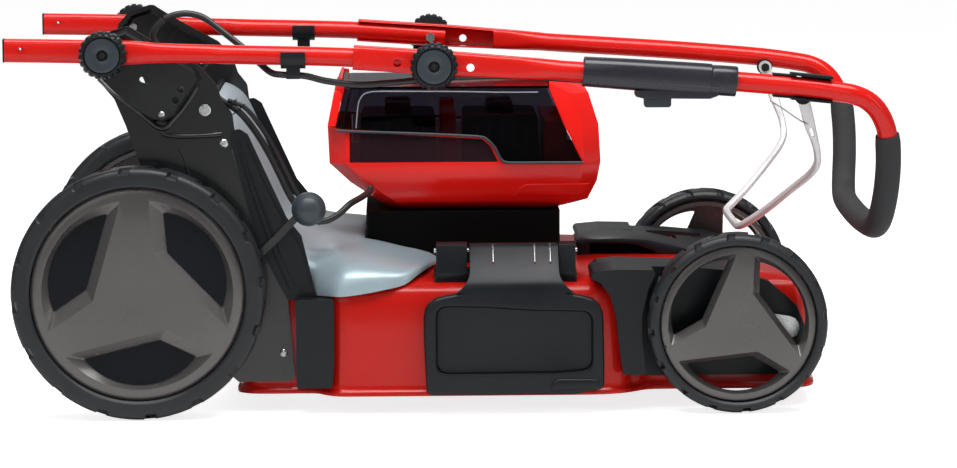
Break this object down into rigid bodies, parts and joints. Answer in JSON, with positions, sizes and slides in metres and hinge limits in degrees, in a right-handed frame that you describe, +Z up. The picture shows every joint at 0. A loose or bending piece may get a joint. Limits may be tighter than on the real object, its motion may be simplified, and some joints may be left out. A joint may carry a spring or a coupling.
{
  "type": "cordless lawn mower",
  "caption": "Cordless electric lawn mower with red steel deck, folded-forward red tube handle, smoked battery lid, side flap and spoked wheels.",
  "frame": {"origin": "centre of the footprint on the ground", "axes": "+X to the front of the mower, +Y to its left, +Z up"},
  "size_m": [0.9907, 0.55, 0.4477],
  "materials": {
    "deck_red": "gloss red enamel",
    "black_plastic": "fine textured",
    "satin_black_steel": "satin black",
    "tyre_rubber": "matt",
    "wheel_grey": "metallic grey, satin",
    "silver_plastic": "silver, satin",
    "zinc_steel": "zinc plated",
    "aluminium": "satin",
    "smoked_plastic": "clear smoked, gloss",
    "grip_foam": "matt foam",
    "cord_rubber": "satin",
    "knob_slate": "satin",
    "battery_case": "satin",
    "motor_body": "cast, matt",
    "tub_red": "gloss"
  },
  "bodies": {
    "mower": {"deck_shell": "deck_red", "rear_bracket_right": "satin_black_steel", "rear_bracket_left": "satin_black_steel", "chute_hood": "silver_plastic", "side_cover_right": "black_plastic", "side_cover_left": "black_plastic", "motor_cowl": "black_plastic", "motor": "motor_body", "battery_housing": "tub_red", "housing_window_right": "smoked_plastic", "housing_window_left": "smoked_plastic", "battery_pack_rear": "battery_case", "battery_pack_front": "battery_case", "front_cover": "black_plastic", "flap_bracket": "black_plastic", "flap_pin": "zinc_steel", "flap_spring": "zinc_steel", "supply_cable": "cord_rubber"},
    "rear_carrier": {"rear_axle": "zinc_steel", "height_lever": "satin_black_steel", "lever_knob": "knob_slate"},
    "front_carrier": {"front_axle": "zinc_steel"},
    "height_link_body": {"height_link": "satin_black_steel"},
    "handle": {"lower_tube_right": "deck_red", "lower_tube_left": "deck_red", "tube_cap_right": "black_plastic", "tube_cap_left": "black_plastic", "pivot_bolt_right": "zinc_steel", "pivot_bolt_left": "zinc_steel", "clamp_bolt_right": "zinc_steel", "clamp_bolt_left": "zinc_steel", "cable_clip_right": "black_plastic", "cable_clip_left": "black_plastic", "handle_cable": "cord_rubber", "upper_handle": "deck_red", "foam_grip": "grip_foam", "switch_housing": "black_plastic", "bail_pivot_right": "black_plastic", "bail_pivot_left": "black_plastic"},
    "bail_body": {"bail": "aluminium", "bail_cable": "zinc_steel"},
    "button_body": {"start_button": "black_plastic"},
    "lid_body": {"battery_lid": "smoked_plastic"},
    "side_flap_body": {"side_flap": "black_plastic"},
    "rear_flap_body": {"rear_flap": "black_plastic"},
    "blade_body": {"blade": "zinc_steel", "blade_hub": "satin_black_steel"},
    "wheel_rear_right": {"tyre_rear_right": "tyre_rubber", "rim_rear_right": "wheel_grey"},
    "wheel_front_right": {"tyre_front_right": "tyre_rubber", "rim_front_right": "wheel_grey"},
    "pivot_knob_body_right": {"pivot_knob_right": "black_plastic"},
    "clamp_knob_body_right": {"clamp_knob_right": "black_plastic"},
    "wheel_rear_left": {"tyre_rear_left": "tyre_rubber", "rim_rear_left": "wheel_grey"},
    "wheel_front_left": {"tyre_front_left": "tyre_rubber", "rim_front_left": "wheel_grey"},
    "pivot_knob_body_left": {"pivot_knob_left": "black_plastic"},
    "clamp_knob_body_left": {"clamp_knob_left": "black_plastic"}
  },
  "joints": [
    {"name": "height_adjust", "type": "hinge", "parent": "mower", "child": "rear_carrier", "pos_m": [-0.2909, 0, 0.1296], "axis": [0, -1, 0], "range_deg": [0, 42]},
    {"name": "front_height", "type": "hinge", "parent": "mower", "child": "front_carrier", "pos_m": [0.3711, 0, 0.0896], "axis": [0, -1, 0], "range_deg": [0, 42]},
    {"name": "link_pivot", "type": "hinge", "parent": "rear_carrier", "child": "height_link_body", "pos_m": [-0.2909, 0.14, 0.1496], "axis": [0, -1, 0], "range_deg": [-42, 0]},
    {"name": "handle_fold", "type": "hinge", "parent": "mower", "child": "handle", "pos_m": [-0.384, 0, 0.403], "axis": [0, -1, 0], "range_deg": [0, 158]},
    {"name": "bail_squeeze", "type": "hinge", "parent": "handle", "child": "bail_body", "pos_m": [0.385, 0, 0.35], "axis": [0, -1, 0], "range_deg": [0, 44], "stiffness_Nm_per_rad": 0.25, "springref_deg": -28.65},
    {"name": "start_press", "type": "slide", "parent": "handle", "child": "button_body", "axis": [0, 0, 1], "range_m": [0, 0.004], "stiffness_N_per_m": 500, "springref_m": -0.002},
    {"name": "lid_open", "type": "hinge", "parent": "mower", "child": "lid_body", "pos_m": [-0.1245, 0, 0.356], "axis": [0, -1, 0], "range_deg": [0, 100]},
    {"name": "side_flap_open", "type": "hinge", "parent": "mower", "child": "side_flap_body", "pos_m": [0.06, -0.2005, 0.178], "axis": [-1, 0, 0], "range_deg": [0, 95], "stiffness_Nm_per_rad": 0.12, "springref_deg": -51.57},
    {"name": "rear_flap_open", "type": "hinge", "parent": "mower", "child": "rear_flap_body", "pos_m": [-0.276, 0, 0.338], "axis": [0, 1, 0], "range_deg": [0, 80], "stiffness_Nm_per_rad": 0.2, "springref_deg": -51.57},
    {"name": "blade_spin", "type": "hinge", "parent": "mower", "child": "blade_body", "pos_m": [0.01, 0, 0.048], "axis": [0, 0, 1], "continuous": true},
    {"name": "wheel_rear_right_spin", "type": "hinge", "parent": "rear_carrier", "child": "wheel_rear_right", "pos_m": [-0.35, -0.2215, 0.14], "axis": [0, 1, 0], "continuous": true},
    {"name": "wheel_front_right_spin", "type": "hinge", "parent": "front_carrier", "child": "wheel_front_right", "pos_m": [0.312, -0.21, 0.1], "axis": [0, 1, 0], "continuous": true},
    {"name": "pivot_knob_right_turn", "type": "hinge", "parent": "handle", "child": "pivot_knob_body_right", "pos_m": [-0.384, -0.2435, 0.403], "axis": [0, -1, 0], "continuous": true},
    {"name": "clamp_knob_right_turn", "type": "hinge", "parent": "handle", "child": "clamp_knob_body_right", "pos_m": [-0.023, -0.2495, 0.3885], "axis": [0, -1, 0], "continuous": true},
    {"name": "wheel_rear_left_spin", "type": "hinge", "parent": "rear_carrier", "child": "wheel_rear_left", "pos_m": [-0.35, 0.2215, 0.14], "axis": [0, 1, 0], "continuous": true},
    {"name": "wheel_front_left_spin", "type": "hinge", "parent": "front_carrier", "child": "wheel_front_left", "pos_m": [0.312, 0.21, 0.1], "axis": [0, 1, 0], "continuous": true},
    {"name": "pivot_knob_left_turn", "type": "hinge", "parent": "handle", "child": "pivot_knob_body_left", "pos_m": [-0.384, 0.2435, 0.403], "axis": [0, 1, 0], "continuous": true},
    {"name": "clamp_knob_left_turn", "type": "hinge", "parent": "handle", "child": "clamp_knob_body_left", "pos_m": [-0.023, 0.2495, 0.3885], "axis": [0, 1, 0], "continuous": true}
  ],
  "couplings": [
    {"joint": "front_height", "follows": "height_adjust", "ratio": 1},
    {"joint": "link_pivot", "follows": "height_adjust", "ratio": -1}
  ]
}
